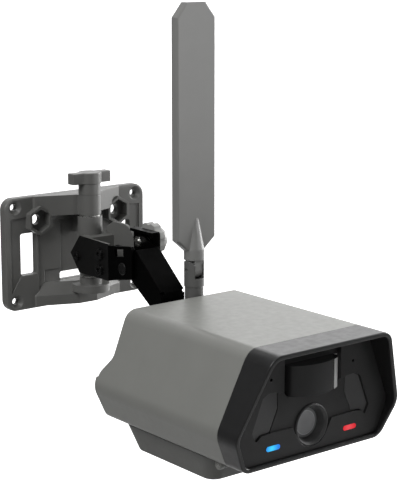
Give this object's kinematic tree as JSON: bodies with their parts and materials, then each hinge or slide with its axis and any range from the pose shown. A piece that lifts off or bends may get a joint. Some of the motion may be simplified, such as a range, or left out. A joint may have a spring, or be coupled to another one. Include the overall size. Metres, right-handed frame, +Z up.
{
  "type": "trail camera",
  "caption": "Hooded outdoor trail camera with a folding paddle antenna, motion sensor, lens and lights, on a wall bracket that pans and tilts.",
  "frame": {"origin": "centre of the wall plate's back face, which lies on the wall", "axes": "+Y into the wall, so the camera looks along -Y; +Z up; +X to the right seen from the front"},
  "size_m": [0.1198, 0.251, 0.2584],
  "materials": {
    "shell_grey": "fine moulded texture",
    "mount_grey": "fine moulded texture",
    "antenna_grey": "satin moulded",
    "face_black": "satin moulded",
    "window_black": "polished, infrared passing",
    "steel_black": "black powder coat",
    "screw_black": "black oxide",
    "steel_bright": "zinc plated",
    "brass": "machined",
    "bush_white": "acetal",
    "clear_glass": "coated",
    "light_blue": "translucent",
    "light_red": "translucent",
    "seal_rubber": "moulded",
    "board_green": "solder mask",
    "chip_black": "moulded package",
    "shield_tin": "tinned",
    "inner_black": "moulded",
    "battery_wrap": "moulded case"
  },
  "bodies": {
    "wall_mount": {"wall_plate": "mount_grey", "pan_bolt": "steel_bright", "pan_washers": "steel_bright"},
    "pan_knob": {"pan_knob": "mount_grey", "pan_knob_insert": "brass"},
    "pan_yoke": {"pan_yoke": "mount_grey", "pan_bush": "bush_white", "cross_bolt": "screw_black", "left_cheek": "steel_black", "right_cheek": "steel_black", "cheek_screws": "screw_black", "tilt_pin": "screw_black"},
    "camera": {"tilt_arm": "steel_black", "arm_foot_screws": "screw_black", "lock_nut": "steel_bright", "hood_shell": "shell_grey", "rear_cover": "shell_grey", "rear_gasket": "seal_rubber", "rear_cover_screws": "screw_black", "front_bezel": "face_black", "bezel_gasket": "seal_rubber", "face_panel": "face_black", "face_trim": "face_black", "pir_window": "window_black", "pir_sensor": "shield_tin", "lens_ring": "face_black", "lens_barrel": "inner_black", "lens_glass": "clear_glass", "lens_elements": "clear_glass", "sensor_board": "board_green", "ir_window_left": "window_black", "ir_window_right": "window_black", "ir_led_boards": "board_green", "ir_leds": "clear_glass", "blue_light_window": "light_blue", "red_light_window": "light_red", "mic_membranes": "seal_rubber", "main_board": "board_green", "board_chips": "chip_black", "cellular_module": "shield_tin", "memory_card": "chip_black", "battery_bay": "inner_black", "battery_pack": "battery_wrap", "battery_contacts": "brass", "hinge_pins": "steel_bright", "antenna_socket": "brass"},
    "tilt_lock": {"lock_screw": "steel_bright", "tilt_lock_knob": "mount_grey"},
    "power_button": {"power_button": "seal_rubber"},
    "pairing_button": {"pairing_button": "seal_rubber"},
    "battery_door": {"battery_door": "shell_grey", "door_seal": "seal_rubber", "latch_spring": "steel_bright", "spring_post": "shell_grey"},
    "door_latch": {"door_latch": "shell_grey"},
    "antenna_base": {"antenna_base": "antenna_grey", "antenna_pin": "steel_bright"},
    "antenna_blade": {"antenna_blade": "antenna_grey"}
  },
  "joints": [
    {"name": "pan", "type": "hinge", "parent": "wall_mount", "child": "pan_yoke", "pos_m": [0, -0.0212, -0.0038], "axis": [0, 0, 1], "range_deg": [-60, 60]},
    {"name": "pan_clamp", "type": "hinge", "parent": "wall_mount", "child": "pan_knob", "pos_m": [0, -0.0212, 0.0462], "axis": [0, 0, 1], "range_deg": [0, 360]},
    {"name": "tilt", "type": "hinge", "parent": "pan_yoke", "child": "camera", "pos_m": [0, -0.0722, -0.0023], "axis": [1, 0, 0], "range_deg": [-18, 18]},
    {"name": "tilt_clamp", "type": "hinge", "parent": "camera", "child": "tilt_lock", "pos_m": [0.015, -0.0672, 0.0122], "axis": [-1, 0, 0], "range_deg": [0, 360]},
    {"name": "door", "type": "hinge", "parent": "camera", "child": "battery_door", "pos_m": [0, -0.2087, -0.0838], "axis": [-1, 0, 0], "range_deg": [0, 90]},
    {"name": "latch", "type": "slide", "parent": "battery_door", "child": "door_latch", "axis": [0, -1, 0], "range_m": [0, 0.0022], "stiffness_N_per_m": 300, "deforming": ["latch_spring"]},
    {"name": "power", "type": "slide", "parent": "camera", "child": "power_button", "axis": [0, 0, 1], "range_m": [0, 0.001], "stiffness_N_per_m": 400},
    {"name": "pairing", "type": "slide", "parent": "camera", "child": "pairing_button", "axis": [0, 0, 1], "range_m": [0, 0.001], "stiffness_N_per_m": 400},
    {"name": "antenna_swivel", "type": "hinge", "parent": "camera", "child": "antenna_base", "pos_m": [0.0155, -0.1102, -0.0138], "axis": [0, 0, 1], "range_deg": [-45, 90]},
    {"name": "antenna_fold", "type": "hinge", "parent": "antenna_base", "child": "antenna_blade", "pos_m": [0.0155, -0.1102, 0.0002], "axis": [1, 0, 0], "range_deg": [0, 90]}
  ]
}
